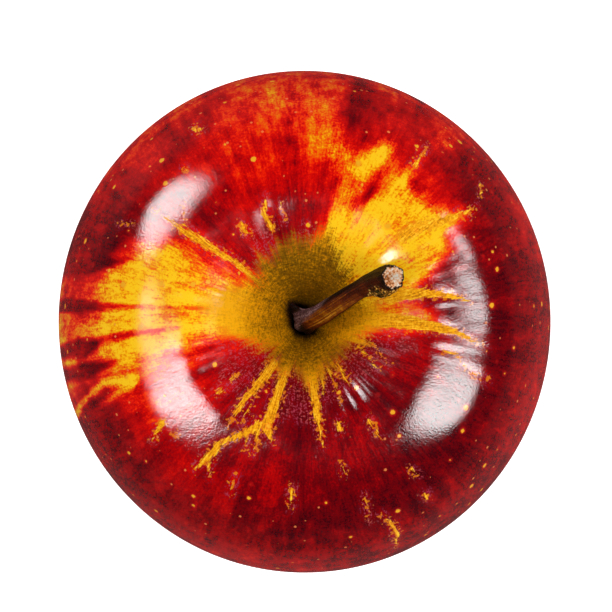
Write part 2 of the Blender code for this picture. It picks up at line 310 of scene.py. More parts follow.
class Wiring:
    """Adds nodes to a tree. An input is a socket to link from, or a plain value."""

    def __init__(self, tree):
        self.tree = tree

    def add(self, kind, inputs=(), **settings):
        node = self.tree.nodes.new(kind)
        for name, value in settings.items():
            setattr(node, name, value)
        for key, value in dict(inputs).items():
            self.put(node.inputs[key], value)
        return node

    def put(self, socket, value):
        if isinstance(value, bpy.types.NodeSocket):
            self.tree.links.new(value, socket)
        else:
            socket.default_value = value

    def math(self, operation, a, b=0.0, clamp=False):
        return self.add("ShaderNodeMath", {0: a, 1: b}, operation=operation, use_clamp=clamp).outputs[0]

    def centred(self, value, weight, start):
        """start plus weight times value, counted from value's middle of 0.5."""
        inputs = {0: self.math("SUBTRACT", value, 0.5), 1: weight, 2: start}
        return self.add("ShaderNodeMath", inputs, operation="MULTIPLY_ADD").outputs[0]

    def weighted(self, start, *terms):
        """start plus each (socket, weight) of terms."""
        for value, weight in terms:
            start = self.centred(value, weight, start)
        return start

    def mix(self, factor, a, b, blend="MIX"):
        node = self.add("ShaderNodeMix", data_type="RGBA", blend_type=blend)
        for socket, value in ((node.inputs[0], factor), (node.inputs[6], a), (node.inputs[7], b)):
            self.put(socket, value)
        return node.outputs[2]

    def step(self, value, low, high, start=0.0, end=1.0, rise="SMOOTHSTEP"):
        """value's rise from start, at low, to end, at high."""
        inputs = {"Value": value, "From Min": low, "From Max": high, "To Min": start, "To Max": end}
        return self.add("ShaderNodeMapRange", inputs, interpolation_type=rise).outputs[0]

    def grey(self, value):
        return self.add("ShaderNodeCombineColor", {0: value, 1: value, 2: value}).outputs[0]

    def bump(self, height):
        """A normal for heights in millimetres."""
        return self.add("ShaderNodeBump", {"Height": height, "Distance": MM}).outputs[0]

    def ramp(self, factor, stops):
        node = self.add("ShaderNodeValToRGB", {0: factor})
        elements = node.color_ramp.elements
        while len(elements) < len(stops):
            elements.new(1.0)
        for element, (position, *colour) in zip(elements, stops):
            element.position = position
            element.color = shade(*colour)
        return node.outputs[0]

    def noise(self, place, scale, detail):
        """Noise drawn apart so that it runs from 0 to 1."""
        grain = self.add("ShaderNodeTexNoise", {"Vector": place, "Scale": scale, "Detail": detail}).outputs[0]
        return self.step(grain, *NOISE_RANGE, rise="LINEAR")

    def attribute(self, name, output="Fac"):
        return self.add("ShaderNodeAttribute", attribute_name=name).outputs[output]

    def group(self, tree, **inputs):
        node = self.add("ShaderNodeGroup", node_tree=tree)
        for name, value in inputs.items():
            self.put(node.inputs[name.replace("_", " ").capitalize()], value)
        return node.outputs


def new_group(name, inputs, outputs):
    """An empty shader node group with these sockets, each (name, default), and its wiring."""
    tree = bpy.data.node_groups.new(name, "ShaderNodeTree")
    for socket, default in inputs:
        if default is None:
            tree.interface.new_socket(socket, in_out="INPUT", socket_type="NodeSocketVector")
        else:
            made = tree.interface.new_socket(socket, in_out="INPUT", socket_type="NodeSocketFloat")
            made.default_value = default
    for socket in outputs:
        tree.interface.new_socket(socket, in_out="OUTPUT", socket_type="NodeSocketFloat")
    wiring = Wiring(tree)
    return tree, wiring, wiring.add("NodeGroupInput").outputs, wiring.add("NodeGroupOutput").inputs


def streaks_group():
    """Noise drawn out along a surface's length: Place is (cosine, sine, length along) of each point."""
    inputs = [("Place", None), ("Across", 10), ("Along", 1), ("Detail", 2)]
    tree, wiring, given, result = new_group("Streaks", inputs, ["Streak"])
    stretch = wiring.add("ShaderNodeCombineXYZ", {0: given["Across"], 1: given["Across"], 2: given["Along"]})
    drawn = {0: given["Place"], 1: stretch.outputs[0]}
    place = wiring.add("ShaderNodeVectorMath", drawn, operation="MULTIPLY").outputs[0]
    wiring.put(result["Streak"], wiring.noise(place, 1.0, given["Detail"]))
    return tree


def mottle_group():
    """Even noise whose blotches have about the given size in millimetres."""
    inputs = [("Place", None), ("Size", 1), ("Detail", 2)]
    tree, wiring, given, result = new_group("Mottle", inputs, ["Mottle"])
    scale = wiring.math("DIVIDE", 1 / MM, given["Size"])
    wiring.put(result["Mottle"], wiring.noise(given["Place"], scale, given["Detail"]))
    return tree


def flecks_group():
    """Scattered dots: Spacing and Size are in millimetres, and Share is how many places hold one."""
    inputs = [("Place", None), ("Spacing", 3), ("Size", 0.4), ("Share", 0.5), ("Wobble", 0.3)]
    tree, wiring, given, result = new_group("Flecks", inputs, ["Dot", "Halo"])
    scale = wiring.math("DIVIDE", 1 / MM, given["Spacing"])
    cells = wiring.add("ShaderNodeTexVoronoi", {"Vector": given["Place"], "Scale": scale})
    distance = wiring.math("MULTIPLY", cells.outputs["Distance"], given["Spacing"])
    chance = wiring.add("ShaderNodeSeparateColor", {0: cells.outputs["Color"]})
    fine = wiring.add("ShaderNodeTexNoise", {"Vector": given["Place"], "Scale": 3.2 / MM})
    distance = wiring.centred(fine.outputs[0], given["Wobble"], distance)
    size = wiring.math("MULTIPLY", given["Size"], wiring.step(chance.outputs[1], 0, 1, 0.45, 1.25))
    held = wiring.math("LESS_THAN", chance.outputs[0], given["Share"])
    inside = wiring.math("SUBTRACT", size, distance)
    wiring.put(result["Dot"], wiring.math("MULTIPLY", wiring.step(inside, -0.03, 0.08), held))
    wiring.put(result["Halo"], wiring.math("MULTIPLY", wiring.step(inside, -0.42, 0.05), held))
    return tree


def edge_group():
    """Turns Depth, the millimetres inside an edge, into a mask whose edge a Grain of 0 to 1 makes ragged."""
    inputs = [("Depth", 0), ("Grain", 0.5), ("Ragged", 0.5), ("Soft", 0.1)]
    tree, wiring, given, result = new_group("Ragged edge", inputs, ["Mask"])
    depth = wiring.centred(given["Grain"], given["Ragged"], given["Depth"])
    low = wiring.math("MULTIPLY", given["Soft"], -1)
    wiring.put(result["Mask"], wiring.step(depth, low, given["Soft"]))
    return tree


def new_material(name, roughness=0.5):
    """A material and its wiring, shader and object coordinates."""
    material = bpy.data.materials.new(name)
    material.use_nodes = True
    tree = material.node_tree
    shader = tree.nodes["Principled BSDF"]
    shader.inputs["Roughness"].default_value = roughness
    wiring = Wiring(tree)
    return material, wiring, shader, wiring.add("ShaderNodeTexCoord").outputs["Object"]


# ---- Materials ----


def skin_material(groups):
    material, w, shader, place = new_material("apple_skin")
    around = w.attribute("around", "Vector")
    depth = w.attribute("blush")
    broad = w.group(groups["streaks"], place=around, across=7, along=0.5, detail=3)["Streak"]
    streak = w.group(groups["streaks"], place=around, across=20, along=0.9, detail=3)["Streak"]
    fine = w.group(groups["streaks"], place=around, across=62, along=5.0, detail=3)["Streak"]
    cloud = w.group(groups["mottle"], place=place, size=2.6, detail=3)["Mottle"]
    grain = w.group(groups["mottle"], place=place, size=0.34, detail=3)["Mottle"]

    # The red lies over the yellow in stripes, freckled where it is thin
    thread = w.group(groups["streaks"], place=around, across=110, along=7.0, detail=2)["Streak"]
    change = w.weighted(0.0, (broad, 0.22), (streak, 0.24), (cloud, 0.30))
    speckle = w.weighted(0.0, (fine, 0.24), (thread, 0.16), (grain, 0.36))
    red = w.math("ADD", depth, w.math("MULTIPLY", change, w.step(depth, 0.5, 0.8, 1, 0.5)))
    red = w.math("ADD", red, w.math("MULTIPLY", speckle, w.step(depth, 0.2, 0.65, 1, 0.44)))
    colour = w.ramp(red, SKIN_COLOURS)

    # A violet bloom on the red next to the hollow and beside the russet
    bloom_depth = w.attribute("bloom")
    bloom = w.group(groups["edge"], depth=bloom_depth, grain=fine, ragged=1.6, soft=0.8)["Mask"]
    dusty = w.step(w.weighted(0.5, (thread, 0.6), (grain, 1.0)), 0.5, 0.85)
    bloom = w.math("MULTIPLY", w.math("MULTIPLY", bloom, dusty), w.step(red, 0.4, 0.65, 0, 0.55))
    colour = w.mix(bloom, colour, w.mix(cloud, shade(*VIOLET), shade(*PINK)))

    # Russet tongues and flecks
    rough_grain = w.weighted(0.5, (fine, 0.6), (thread, 0.5), (grain, 0.14))
    tongue = w.attribute("russet")
    russet = w.group(groups["edge"], depth=tongue, grain=rough_grain, ragged=0.8, soft=0.10)["Mask"]
    clumps = w.group(groups["mottle"], place=place, size=0.62, detail=3)["Mottle"]
    freckles = w.group(groups["edge"], depth=tongue, grain=clumps, ragged=2.2, soft=0.12)["Mask"]
    colour = w.mix(w.math("MULTIPLY", freckles, 0.7), colour, shade(*FRECKLE))
    russet_tone = w.weighted(0.5, (thread, 0.5), (fine, 0.4), (grain, 0.6))
    colour = w.mix(russet, colour, w.ramp(russet_tone, RUSSET_COLOURS))

    # Green-brown hollow, with fine ripples round it and painted shade deep in it by the stalk
    rays = w.group(groups["streaks"], place=around, across=13, along=0.25, detail=4)["Streak"]
    rays = w.weighted(0.5, (rays, 0.55), (fine, 0.3), (grain, 0.5))
    ripples = w.group(groups["streaks"], place=around, across=7, along=19, detail=3)["Streak"]
    hollow = w.group(groups["edge"], depth=w.attribute("hollow"), grain=rays, ragged=4.6, soft=1.8)["Mask"]
    green = w.weighted(w.attribute("olive_and_shade"), (fine, 0.26), (ripples, 0.27), (grain, 0.40))
    colour = w.mix(hollow, colour, w.ramp(green, HOLLOW_COLOURS))
    # Painted shade round the foot of the stalk, in its socket
    socket_shade = w.group(groups["edge"], depth=w.attribute("socket_shade"), grain=fine, ragged=1.2, soft=0.5)["Mask"]
    colour = w.mix(socket_shade, colour, shade(*PAINTED_SOCKET_SHADE))

    # Breathing pores: few and large, and many and small
    pores = w.group(groups["flecks"], place=place, spacing=3.1, size=0.36, share=0.85, wobble=0.35)
    share = w.attribute("pores")
    pinpoints = w.group(groups["flecks"], place=place, spacing=1.7, size=0.20, share=share, wobble=0.12)
    away = w.math("SUBTRACT", 1.0, hollow)
    for dots, strength, tint in (
        (pores["Halo"], 0.35, PORE_HALO),
        (pores["Dot"], 1.0, PORE),
        (pinpoints["Dot"], 0.8, PINPOINT),
    ):
        colour = w.mix(w.math("MULTIPLY", dots, w.math("MULTIPLY", away, strength)), colour, shade(*tint))
    w.put(shader.inputs["Base Color"], colour)

    # Waxed and shiny, but dull on russet and in the hollow
    dull = w.math("MAXIMUM", russet, w.math("MULTIPLY", hollow, 0.55))
    rough = w.math("ADD", w.step(dull, 0, 1, 0.17, 0.55), w.math("MULTIPLY", grain, 0.08))
    gloss = w.attribute("gloss")
    w.put(shader.inputs["Roughness"], w.math("ADD", rough, w.step(gloss, 0, 1, 0.12, 0)))
    shader.inputs["Specular IOR Level"].default_value = 0.04
    edge_on = w.add("ShaderNodeLayerWeight", {"Blend": 0.5}).outputs["Facing"]
    coat = w.math("MULTIPLY", w.step(dull, 0, 1, 1.0, 0.0), gloss)
    w.put(shader.inputs["Coat Weight"], w.math("MULTIPLY", coat, w.step(edge_on, 0.5, 0.95, 1, 0.1)))
    shader.inputs["Coat Roughness"].default_value = 0.09
    shader.inputs["Coat IOR"].default_value = 1.75
    shader.inputs["IOR"].default_value = 1.55
    peel = w.group(groups["mottle"], place=place, size=0.30, detail=2)["Mottle"]
    height = w.weighted(0.0, (peel, 0.010), (grain, 0.010), (fine, 0.012), (russet, 0.03))
    height = w.weighted(height, (pores["Dot"], 0.02), (w.math("MULTIPLY", ripples, hollow), 0.05))
    w.put(shader.inputs["Normal"], w.bump(height))
    wax = w.add("ShaderNodeTexNoise", {"Vector": place, "Scale": 3.2 / MM, "Detail": 3.0}).outputs[0]
    w.put(shader.inputs["Coat Normal"], w.bump(w.math("MULTIPLY", wax, 0.025)))
    return material


def bark_material(groups):
    """Bark that goes over into bare cut wood where the stalk was broken off."""
    material, w, shader, place = new_material("stalk_bark", 0.6)
    around = w.attribute("around", "Vector")
    fibre = w.group(groups["streaks"], place=around, across=9, along=0.35, detail=4)["Streak"]
    fine = w.group(groups["streaks"], place=around, across=26, along=1.6, detail=3)["Streak"]
    grain = w.group(groups["mottle"], place=place, size=0.35, detail=3)["Mottle"]
    cloud = w.group(groups["mottle"], place=place, size=1.6, detail=2)["Mottle"]
    # Its tone carries painted light on one side and painted shade on its flanks, underside and foot
    tone_and_shading = w.weighted(w.attribute("tone_and_shading"), (fibre, 0.36), (fine, 0.26), (grain, 0.24), (cloud, 0.24))
    bark = w.ramp(tone_and_shading, BARK_COLOURS)
    base = w.group(groups["edge"], depth=w.attribute("base"), grain=fine, ragged=1.2, soft=0.5)["Mask"]
    bark = w.mix(base, bark, w.ramp(w.weighted(0.5, (fine, 0.6), (grain, 0.7)), STALK_FOOT_COLOURS))
    # The knob: dark and olive, with orange and yellow specks that are painted glints
    knob = w.group(groups["edge"], depth=w.attribute("knob"), grain=grain, ragged=0.8, soft=0.2)["Mask"]
    bark = w.mix(knob, bark, w.ramp(w.weighted(0.45, (grain, 0.8), (cloud, 0.5)), KNOB_COLOURS_AND_GLINTS))
    cut = w.group(groups["edge"], depth=w.attribute("cut"), grain=grain, ragged=0.5, soft=0.1)["Mask"]
    pits = w.group(groups["flecks"], place=place, spacing=0.7, size=0.24, share=0.6, wobble=0.25)["Dot"]
    wood = w.ramp(w.weighted(0.55, (grain, 0.8), (cloud, 0.5)), WOOD_COLOURS)
    wood = w.mix(w.math("MULTIPLY", pits, 0.8), wood, shade(*WOOD_PIT))
    w.put(shader.inputs["Base Color"], w.mix(cut, bark, wood))
    w.put(shader.inputs["Roughness"], w.step(w.weighted(0.5, (fibre, 0.5), (grain, 0.5)), 0, 1, 0.26, 0.6))
    shader.inputs["Specular IOR Level"].default_value = 0.25
    height = w.weighted(0.0, (fibre, 0.16), (fine, 0.10), (grain, 0.12))
    w.put(shader.inputs["Normal"], w.bump(height))
    return material


def dried_material(groups, name, dark, light, tip):
    """Shrivelled tissue with fibres along it, darker towards its tip."""
    material, w, shader, place = new_material(name, 0.85)
    around = w.attribute("around", "Vector")
    fibre = w.group(groups["streaks"], place=around, across=8, along=1.2, detail=4)["Streak"]
    grain = w.group(groups["mottle"], place=place, size=0.25, detail=3)["Mottle"]
    stops = [(0.15, *dark), (0.55, *light), (1.0, *DRIED_HIGH)]
    colour = w.ramp(w.weighted(0.5, (fibre, 0.7), (grain, 0.5)), stops)
    ends = w.step(w.weighted(w.attribute("along"), (grain, 0.35)), 0.55, 1.0, 0, 0.85)
    w.put(shader.inputs["Base Color"], w.mix(ends, colour, shade(*tip)))
    w.put(shader.inputs["Roughness"], w.step(grain, 0, 1, 0.7, 0.95))
    height = w.weighted(0.0, (fibre, 0.12), (grain, 0.08))
    w.put(shader.inputs["Normal"], w.bump(height))
    return material


# ---- Meshes ----


def ball_mesh(name, sides, rows, inside_out=False):
    """A ball's mesh, with each vertex's row, from 0 to rows + 1 at the poles, and its azimuth."""
    shape = bmesh.new()
    bmesh.ops.create_uvsphere(shape, u_segments=sides, v_segments=rows + 1, radius=1)
    if inside_out:
        bmesh.ops.reverse_faces(shape, faces=shape.faces)
    mesh = bpy.data.meshes.new(name)
    shape.to_mesh(mesh)
    shape.free()
    ball = np.zeros(len(mesh.vertices) * 3)
    mesh.vertices.foreach_get("co", ball)
    x, y, z = ball.reshape(-1, 3).T
    row = np.rint(np.arccos(np.clip(z, -1, 1)) / math.pi * (rows + 1)).astype(int)
    return mesh, row, np.arctan2(y, x)


def put_attribute(mesh, name, values):
    kind = "FLOAT_VECTOR" if values.ndim == 2 else "FLOAT"
    attribute = mesh.attributes.new(name, kind, "POINT")
    attribute.data.foreach_set("vector" if values.ndim == 2 else "value", values.astype(np.float32).ravel())


def place_vertices(mesh, places, turn, length):
    """Moves the vertices to places in millimetres, and notes the turn and length that streaks follow."""
    mesh.vertices.foreach_set("co", (places * MM).ravel())
    mesh.update()
    put_attribute(mesh, "around", np.stack([np.cos(turn), np.sin(turn), length], 1))


def finished_piece(name, mesh, material, stands_for):
    """A smooth object with this mesh, riding on the apple in place of the solid model's nodes."""
    mesh.name = name
    mesh.materials.clear()
    mesh.materials.append(material)
    mesh.shade_smooth()
    piece = bpy.data.objects.new(name, mesh)
    bpy.context.scene.collection.objects.link(piece)
    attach(piece, "root")
    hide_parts(*stands_for)
    return piece


# ---- Fruit ----


def bezier(points, t):
    """The curve through the first and last of four (radius, height) points, at each t."""
    s = 1 - t
    weights = np.array([s**3, 3 * s * s * t, 3 * s * t * t, t**3])
    return np.array(points, float).T @ weights


def fruit_outline():
    """Each ring's radius and height, from stalk to eye, and its share of the shoulder's and foot's lobes."""
    crest = (CREST_RADIUS, CREST_HEIGHT)
    equator = (EQUATOR_RADIUS, EQUATOR_HEIGHT)
    foot = (FOOT_RADIUS, -FOOT_SINK)
    hollow = [(SOCKET_RADIUS, HOLLOW_FLOOR), (5.5, 56), (10.5, CREST_HEIGHT), crest]
    shoulder = [crest, (33.5, CREST_HEIGHT), (EQUATOR_RADIUS, 50), equator]
    flank = [equator, (EQUATOR_RADIUS, 20), (26.5, -FOOT_SINK), foot]
    basin = [foot, (9, -FOOT_SINK), (7.5, EYE_FLOOR), (EYE_FLOOR_RADIUS, EYE_FLOOR)]
    rings = [(SOCKET_RADIUS * 0.5, SOCKET_FLOOR, 0, 0), (SOCKET_RADIUS * 0.95, SOCKET_FLOOR, 0, 0)]
    rings += [(SOCKET_RADIUS, SOCKET_FLOOR + rise, 0, 0) for rise in (0.4, 1.2, 2.4, 3.4)]
    spans = [
        (hollow, STEPS["hollow"], lambda t: (smooth(t), 0 * t)),
        (shoulder, STEPS["shoulder"], lambda t: (smooth(1 - t), 0 * t)),
        (flank, STEPS["flank"], lambda t: (0 * t, smooth(t))),
        (basin, STEPS["basin"], lambda t: (0 * t, smooth(1 - t))),
    ]
    for points, count, shares in spans:
        t = np.arange(count) / count
        rings += list(zip(*bezier(points, t), *shares(t)))
    eye = [(EYE_FLOOR_RADIUS, 0), (2.75, 0.15), (2.45, 0.4), (TUBE_RADIUS, TUBE_LIP), (2.1, 2.2)]
    eye += [(TUBE_END_RADIUS, TUBE_DEPTH - 0.2), (1.2, TUBE_DEPTH)]
    rings += [(radius, EYE_FLOOR + rise, 0, 0) for radius, rise in eye]
    return np.array(rings).T


def ripple(azimuth, lowest, highest, seed):
    """A wavy value round the fruit, about -1 to 1, made of whole waves between lowest and highest."""
    random = np.random.RandomState(seed)
    waves = np.arange(lowest, highest + 1)
    heights = random.normal(size=len(waves))
    phases = random.uniform(0, math.tau, len(waves))
    total = sum(h * np.cos(n * azimuth + p) for h, n, p in zip(heights, waves, phases))
    return total / np.sqrt(len(waves) / 2) / 2


def depth_in(band, reach, azimuth, radius):
    """Millimetres from each place on the skin in to the band's edge; negative outside it."""
    reaches, azimuths, halves = (np.array(column, float) for column in zip(*band))
    aside = turned_from(azimuth, np.interp(reach, reaches, azimuths))
    half = np.interp(reach, reaches, halves)
    beyond = np.clip(np.maximum(reaches[0] - reach, reach - reaches[-1]), 0, None)
    return half - np.hypot(aside * radius, beyond)


def share_in(band, softness, reach, azimuth, radius):
    """1 inside the band and 0 outside it, fading over softness to each side of its edge."""
    return smooth(0.5 + depth_in(band, reach, azimuth, radius) / softness / 2)


def blush_at(reach, azimuth, radius):
    """How deep the red is: below 0.2 the skin is yellow, and at 1 its red is the darkest."""
    blush = np.full_like(reach, BLUSH)
    blush += 0.07 * ripple(azimuth, 2, 9, 3) * smooth((reach - 8) / 10)
    blush += 0.08 * np.cos(azimuth - math.radians(290)) - 0.24 * smooth((reach - 32) / 9)
    for far, degrees, length, width, change in PATCHES:
        blush += change * bell(reach - far, length) * bell(turned_from(azimuth, degrees) * radius, width)
    for change, softness, band in BANDS:
        blush += change * share_in(band, softness, reach, azimuth, radius)
    blush = np.clip(blush, 0.04, 1)
    for change, softness, band in STRIPES:
        blush += change * share_in(band, softness, reach, azimuth, radius)
    underside = smooth((reach - 52) / 18)
    blush += underside * (0.30 * ripple(azimuth, 8, 30, 11) - 0.42)
    return np.clip(blush, 0, 0.92 - 0.16 * smooth((reach - 30) / 7))


def make_fruit(material):
    """The fruit's rings with fine faces, lobes, flutes and flats."""
    rings = fruit_outline()
    count = rings.shape[1]
    mesh, row, azimuth = ball_mesh("apple_flesh", AROUND, count)
    ring = np.clip(row - 1, 0, count - 1)
    base_radius, height, shoulder, foot = rings[:, ring]
    steps = np.hypot(*np.diff(rings[:2], axis=1))
    along = np.concatenate([[0], np.cumsum(steps)])[ring]

    # Lobes, a shoulder that is higher on one side, and an oval outline
    lobe = np.cos(LOBES * turned_from(azimuth, LOBE_AZIMUTH))
    tilt = np.cos(turned_from(azimuth, HIGH_SIDE_AZIMUTH))
    height = height + shoulder * (SHOULDER_LOBE * lobe + SHOULDER_TILT * tilt) + foot * FOOT_LOBE * (1 - lobe)
    radius = base_radius * (1 - OVAL * np.cos(2 * azimuth))
    before_equator = ring < np.argmax(rings[0])
    reach = np.where(before_equator, base_radius, 2 * EQUATOR_RADIUS - base_radius)

    # Flutes run down the wall of the hollow and die out over the shoulder; others leave the eye
    wall = smooth((reach - 3) / 6) * smooth((21.5 - reach) / 9) * before_equator
    height = height + wall * (0.16 * ripple(azimuth, 9, 26, 5) + 0.07 * ripple(azimuth, 26, 60, 6))
    basin = smooth((reach - 57) / 6) * smooth((74 - reach) / 3) * ~before_equator
    radius = radius + basin * 0.22 * ripple(azimuth, 8, 22, 7)
    socket = smooth((6 - along) / 3)
    radius = radius * (1 - 0.04 * socket * ripple(azimuth, 2, 7, 8))
    russet = np.full_like(reach, -1.5)
    for band in TONGUES:
        russet = np.maximum(russet, depth_in(band, reach, azimuth, radius))
    height = height - 0.03 * smooth(0.5 + russet) * smooth((reach - 12) / 6) * before_equator

    # Fine furrows on the +X shoulder, then the flats and ridges
    furrows = smooth((np.cos(azimuth - 0.25) - 0.82) / 0.15)
    furrows = furrows * smooth((reach - 17) / 4) * smooth((32 - reach) / 4) * before_equator
    height = height + furrows * 0.025 * ripple(azimuth, 14, 100, 9)
    for far, degrees, sink, length, width in FLATS:
        spread = bell(reach - far, length) * bell(turned_from(azimuth, degrees) * radius, width)
        height = height - sink * spread * before_equator

    placed = np.stack([radius * np.cos(azimuth), radius * np.sin(azimuth), np.maximum(height, 0)], 1)
    placed[row == 0] = (0, 0, SOCKET_FLOOR)
    placed[row == count + 1] = (0, 0, EYE_FLOOR + TUBE_DEPTH)
    place_vertices(mesh, placed, azimuth, along / 10)
    reach[row == 0], reach[row == count + 1] = 0, 2 * EQUATOR_RADIUS
    mark_skin(mesh, reach, azimuth, radius, russet)
    return finished_piece("apple_flesh", mesh, material, ["fruit"])


def mark_skin(mesh, reach, azimuth, radius, russet):
    """Notes at each place how red, rough, violet, olive, shiny and full of pores the skin is, and the painted
    shade round the stalk.
    """
    put_attribute(mesh, "blush", blush_at(reach, azimuth, radius))
    put_attribute(mesh, "russet", np.clip(russet - 0.26, -1.5, 1.5))
    # Painted shade round the stalk's socket, reaching furthest towards azimuth 130
    socket_shade = 2.5 + 1.5 * bell(turned_from(azimuth, 130), 0.45) - reach
    put_attribute(mesh, "socket_shade", np.where(reach < EQUATOR_RADIUS, socket_shade, -1))
    put_attribute(mesh, "bloom", np.maximum(np.clip(russet * 1.6 + 0.9, -2, 2), bloom_depth(reach, azimuth)))
    put_attribute(mesh, "hollow", hollow_depth(reach, azimuth))
    put_attribute(mesh, "gloss", gloss_share(reach, azimuth, radius))
    put_attribute(mesh, "olive_and_shade", olive_and_shade_share(reach, azimuth))
    put_attribute(mesh, "pores", 0.18 + 0.55 * smooth((reach - 18) / 20) - 0.4 * smooth((reach - 60) / 10))


def gloss_share(reach, azimuth, radius):
    """How shiny the skin is: dull near the hollow but for the waxy places, and at its full beyond."""
    gloss = 0.06 + smooth((reach - 17) / 4)
    for far, degrees, size in WAXY:
        away = (reach - far) ** 2 + (turned_from(azimuth, degrees) * radius) ** 2
        gloss += bell(away, size**2)
    return np.clip(gloss, 0, 1)


def bloom_depth(reach, azimuth):
    """Millimetres inside the ring of violet bloom round the hollow."""
    edge = 13.5 + 4 * ripple(azimuth, 3, 14, 21)
    return np.where(reach < EQUATOR_RADIUS, edge - reach, reach - 68)


def hollow_depth(reach, azimuth):
    """Millimetres inside the green-brown hollow, which reaches further towards +Y, or inside the eye."""
    edge = HOLLOW_EDGE + 0.9 * ripple(azimuth, 3, 12, 22)
    for degrees, spread, further in HOLLOW_ARMS:
        edge += further * bell(turned_from(azimuth, degrees), math.radians(spread))
    return np.where(reach < EQUATOR_RADIUS, edge - reach, reach - 70)


def olive_and_shade_share(reach, azimuth):
    """How green and dark the hollow is: golden on its -X wall, deepest on its +Y wall, and darker near the
    stalk as painted shade.
    """
    green = 0.51 - 0.12 * np.cos(2 * azimuth) + 0.08 * np.sin(azimuth) + 0.10 * ripple(azimuth, 3, 9, 23)
    # Painted shade: greener and darker towards the stalk, deep in the hollow
    green = green + 0.12 * smooth((8 - reach) / 6) - 0.32 * smooth((reach - 7.5 - 2 * np.sin(azimuth)) / 5)
    away = (1 - np.cos(turned_from(azimuth, GREEN_SIDE_AZIMUTH))) / 2
    return np.clip(green - 0.40 * smooth((reach - 6) / 6) * away, 0, 1)


# ---- Stalk and dried flower ----


def closed_tube(name, sides, rows, cap=6):
    """A ball's mesh, with each vertex's share along it, turn round it and share inwards on its ends."""
    mesh, row, turn = ball_mesh(name, sides, rows, inside_out=True)
    along = np.clip((row - cap) / (rows + 1 - 2 * cap), 0, 1)
    inward = np.clip(np.maximum(cap - row, row - (rows + 1 - cap)) / cap, 0, 1)
    return mesh, along, turn, inward


def spline(points, along):
    """The points of the Catmull-Rom curve through points, at each share along it."""
    points = np.array(points, float)
    spans = len(points) - 1
    i = np.minimum((along * spans).astype(int), spans - 1)
    u = (along * spans - i)[:, None]
    a, b, c, d = (points[np.clip(i + k, 0, spans)] for k in (-1, 0, 1, 2))
    return 0.5 * (2 * b + u * (c - a) + u * u * (2 * a - 5 * b + 4 * c - d) + u**3 * (3 * b - a - 3 * c + d))


def frames(points, along, steps=400):
    """The curve's centre at each share along it, and two directions square to it that never twist."""
    shares = np.linspace(0, 1, steps + 1)
    centres = spline(points, shares)
    ahead = np.gradient(centres, axis=0)
    ahead /= np.linalg.norm(ahead, axis=1)[:, None]
    side = np.array([1.0, 0, 0])
    sides = []
    for direction in ahead:
        side = side - side.dot(direction) * direction
        side /= np.linalg.norm(side)
        sides.append(side)
    nearest = np.rint(along * steps).astype(int)
    sides = np.array(sides)
    return spline(points, along), sides[nearest], np.cross(ahead, sides)[nearest]


def rough(places, scale, seed=0):
    """Smooth noise of about -1 to 1 at each place."""
    shift = Vector((seed * 3.7, seed * 1.9, seed * 5.3))
    return np.array([noise.noise(Vector(place) * scale + shift) for place in places])


def place_tube(mesh, places, along, turn, stretch):
    """Places a tube's vertices, and notes how far along it they lie."""
    place_vertices(mesh, places, turn, along * stretch)
    put_attribute(mesh, "along", along)


def spur(along, turn):
    """How far the short spur low on one side of the stalk stands out."""
    return SPUR_LENGTH * bell(turned_from(turn, SPUR_TURN), 0.19) * bell(along - SPUR_SHARE, 0.05)


def stalk_width(along, turn):
    """The stalk's radius, with its spur, ribs, groove and rough bark."""
    shares = [place[3] for place in STALK_ROUTE]
    width = STALK_RADIUS * np.interp(along * (len(shares) - 1), range(len(shares)), shares)
    width += spur(along, turn) + 0.25 * bell(along - SPUR_SHARE, 0.06)
    ribs = 0.09 * np.cos(5 * turn + 3 * along) + 0.05 * np.cos(9 * turn - 7 * along + 1)
    groove = 0.16 * bell(turn + 1.1 - 0.7 * along, 0.22) * smooth((along - 0.25) / 0.1)
    place = np.stack([2.2 * np.cos(turn), 2.2 * np.sin(turn), 9 * along], 1)
    bark = 0.13 * rough(place, 1) + 0.07 * rough(place, 2.7, 1) + 0.04 * rough(place * (3, 3, 1), 2.5, 2)
    return width + ribs - groove + bark


def make_stalk(material):
    """The stalk, with a knob beside its end and a rough face where it broke off."""
    mesh, along, turn, inward = closed_tube("woody_stalk", 84, 280, cap=16)
    centre, side, across = frames([place[:3] for place in STALK_ROUTE], along)
    direction = side * np.cos(turn)[:, None] + across * np.sin(turn)[:, None]
    places = centre + direction * stalk_width(along, turn)[:, None]

    offset, axis = places - KNOB_PLACE, np.array(KNOB_AXIS)
    near = np.linalg.norm(offset - 0.45 * (offset @ axis)[:, None] * axis, axis=1)
    swelling = bell(near, KNOB_REACH) * (1.05 + 0.35 * rough(places, 1.6, 3))
    places += direction * swelling[:, None]

    # Both ends are closed, and the broken one stands up at its rim
    edge = 1 - inward
    places = centre + (places - centre) * edge[:, None]
    cut = (along == 1) & (inward > 0)
    rim = 0.14 * (1 - edge**6) + 0.16 * rough(places, 1.3, 4) + 0.07 * rough(places, 4, 5)
    places += np.outer(np.where(cut, rim, 0), CUT_FACING)
    place_tube(mesh, places, along, turn, 4)

    # The bark is paler on one side as painted light, and paler below its middle; it is darker on its flanks,
    # underneath and near the foot down in the socket, as painted shade
    lit = direction @ np.array(PAINTED_LIGHT_SIDE)
    tone_and_shading = 0.22 + 0.32 * lit + 0.20 * bell(along - 0.36, 0.14) - 0.20 * smooth((along - 0.48) / 0.2)
    tone_and_shading -= 0.34 * smooth((0.55 - direction[:, 2]) / 0.4) + 0.3 * smooth((0.3 - along) / 0.08)
    put_attribute(mesh, "tone_and_shading", np.clip(tone_and_shading, 0, 1))
    foot = (0.28 - along) * 12 - 2.2 * (direction @ np.array(BARE_SIDE)) - 5 * spur(along, turn)
    put_attribute(mesh, "base", foot)
    put_attribute(mesh, "knob", 1.6 - near)
    put_attribute(mesh, "cut", np.where(cut, (inward - 0.14) * 1.5, -1))
    return finished_piece("woody_stalk", mesh, material, ["stalk"])


